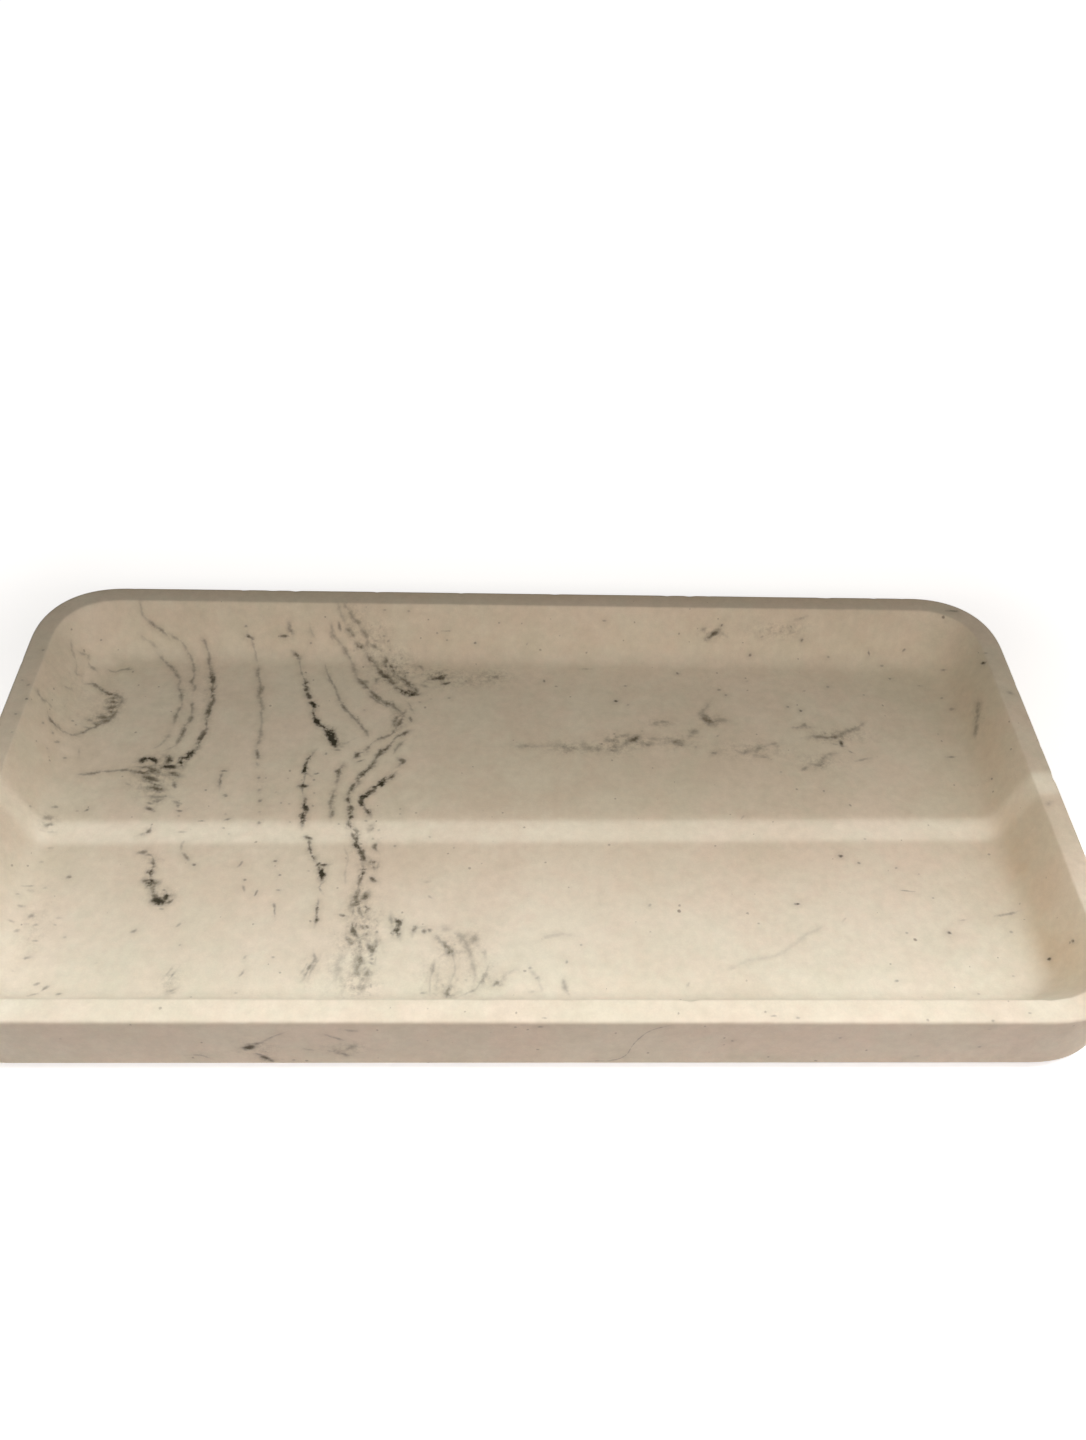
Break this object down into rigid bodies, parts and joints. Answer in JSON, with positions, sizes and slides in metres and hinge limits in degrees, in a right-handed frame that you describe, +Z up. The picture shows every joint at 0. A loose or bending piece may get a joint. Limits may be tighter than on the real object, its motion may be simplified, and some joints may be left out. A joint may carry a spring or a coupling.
{
  "type": "vanity tray",
  "caption": "Shallow rectangular vanity tray cast in one piece, with rounded corners, a flat rim and a sloping hollow, standing on small stick-on pads.",
  "frame": {"origin": "on the surface that the tray stands on, under the middle of the tray", "axes": "+X along the tray's long side to its right, +Y to its rear, +Z up"},
  "size_m": [0.305, 0.16, 0.0226],
  "materials": {
    "cast_stone": "matt cast resin and stone powder in warm cream, with broken dark grey-green marbling, fine speckle and small pits",
    "pad_rubber": "matt soft rubber, warm grey"
  },
  "bodies": {
    "root": {"tray_body": "cast_stone", "pad_front_left": "pad_rubber", "pad_front_right": "pad_rubber", "pad_rear_left": "pad_rubber", "pad_rear_right": "pad_rubber"}
  },
  "joints": []
}
